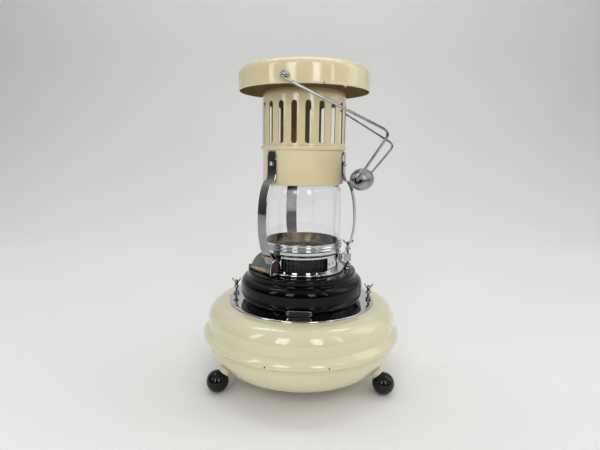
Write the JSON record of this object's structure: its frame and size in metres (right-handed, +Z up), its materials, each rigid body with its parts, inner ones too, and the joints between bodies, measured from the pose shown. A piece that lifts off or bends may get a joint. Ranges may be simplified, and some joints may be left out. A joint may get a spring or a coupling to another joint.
{
  "type": "paraffin space heater",
  "caption": "Wick-type paraffin room heater: squat tank on ball feet, black burner housing, glass chimney in a strapped cage that tilts open, slotted casing, cap and swinging carrying handle",
  "frame": {"origin": "on the floor below the tank's centre", "axes": "+Z up, the front with the lighting window and badge faces -Y, the carrying handle hangs to +X"},
  "size_m": [0.3, 0.3039, 0.4635],
  "materials": {
    "cream_enamel": "glossy stoved enamel, a few small chips",
    "black_enamel": "deep gloss enamel",
    "black_knobs": "moulded phenolic, glossy",
    "bright_plating": "bright plating with fine scratches",
    "dull_steel": "dull plated steel",
    "brass": "aged brass",
    "glass": "clear heat-resisting glass",
    "wick_cotton": "woven cotton",
    "red_oxide": "matt red-brown paint"
  },
  "bodies": {
    "base": {"tank_lower": "cream_enamel", "tank_upper": "cream_enamel", "seam_band": "cream_enamel", "filler_neck": "cream_enamel", "foot_neck_1": "cream_enamel", "foot_neck_2": "cream_enamel", "foot_neck_3": "cream_enamel", "foot_ball_1": "black_knobs", "foot_ball_2": "black_knobs", "foot_ball_3": "black_knobs", "burner_disc": "bright_plating", "burner_housing": "black_enamel", "badge_plate": "bright_plating", "gallery_flange": "bright_plating", "gallery_wall": "bright_plating", "burner_body": "brass", "flame_drum": "dull_steel", "flame_spreader": "dull_steel", "draught_tube": "brass", "wick_tube": "brass", "hinge_pin": "dull_steel", "hinge_spring": "brass", "hinge_cheek": "red_oxide", "hinge_lug": "dull_steel", "latch_post": "dull_steel"},
    "wick_set": {"wick": "wick_cotton", "wick_carrier": "brass", "wick_rack": "brass"},
    "wick_knob_set": {"pinion": "brass", "knob_shaft": "brass", "wick_knob": "black_knobs"},
    "filler_cap_body": {"filler_cap": "bright_plating"},
    "screw_right": {"thumbscrew_right": "dull_steel"},
    "screw_left": {"thumbscrew_left": "dull_steel"},
    "cage": {"glass_seat": "bright_plating", "glass_chimney": "glass", "slotted_casing": "cream_enamel", "cap": "cream_enamel", "cap_stay_1": "cream_enamel", "cap_stay_2": "cream_enamel", "cap_stay_3": "cream_enamel", "strap_back": "bright_plating", "strap_left": "bright_plating", "strap_right": "bright_plating", "strap_screw_back": "dull_steel", "strap_screw_left": "dull_steel", "strap_screw_right": "dull_steel", "foot_rivet_back": "brass", "foot_rivet_left": "brass", "foot_rivet_right": "brass", "cage_band": "bright_plating", "hinge_leaf": "dull_steel", "leaf_rivet_1": "brass", "leaf_rivet_2": "brass", "latch_bracket": "dull_steel", "bail_rivet_near": "dull_steel", "bail_rivet_far": "dull_steel"},
    "latch_screw_body": {"latch_screw": "dull_steel"},
    "bail": {"bail_wire": "dull_steel"},
    "grip": {"coil_grip": "dull_steel"}
  },
  "joints": [
    {"name": "cage_tilt", "type": "hinge", "parent": "base", "child": "cage", "pos_m": [-0.05319, -0.04156, 0.1718], "axis": [0.6157, -0.788, 0], "range_deg": [0, 60]},
    {"name": "bail_swing", "type": "hinge", "parent": "cage", "child": "bail", "pos_m": [0, 0, 0.438], "axis": [-0.2588, -0.9659, 0], "range_deg": [0, 200]},
    {"name": "grip_spin", "type": "hinge", "parent": "bail", "child": "grip", "pos_m": [0.0857, -0.02296, 0.30563], "axis": [-0.2022, -0.9786, 0.0389], "continuous": true},
    {"name": "latch_turn", "type": "hinge", "parent": "cage", "child": "latch_screw_body", "pos_m": [0.0699, -0.00366, 0.19], "axis": [0, 0, 1], "continuous": true},
    {"name": "knob_turn", "type": "hinge", "parent": "base", "child": "wick_knob_set", "pos_m": [0.05, 0.0866, 0.145], "axis": [0.5, 0.866, 0], "range_deg": [-69, 138]},
    {"name": "wick_lift", "type": "slide", "parent": "base", "child": "wick_set", "axis": [0, 0, 1], "range_m": [-0.012, 0.006]},
    {"name": "filler_turn", "type": "hinge", "parent": "base", "child": "filler_cap_body", "pos_m": [-0.0847, 0.10094, 0.11546], "axis": [-0.3687, 0.4394, 0.8191], "continuous": true},
    {"name": "screw_turn_right", "type": "hinge", "parent": "base", "child": "screw_right", "pos_m": [0.10244, -0.01077, 0.13], "axis": [0, 0, 1], "continuous": true},
    {"name": "screw_turn_left", "type": "hinge", "parent": "base", "child": "screw_left", "pos_m": [-0.10244, 0.01077, 0.13], "axis": [0, 0, 1], "continuous": true}
  ],
  "couplings": [
    {"joint": "knob_turn", "follows": "wick_lift", "rad_per_m": -200}
  ]
}
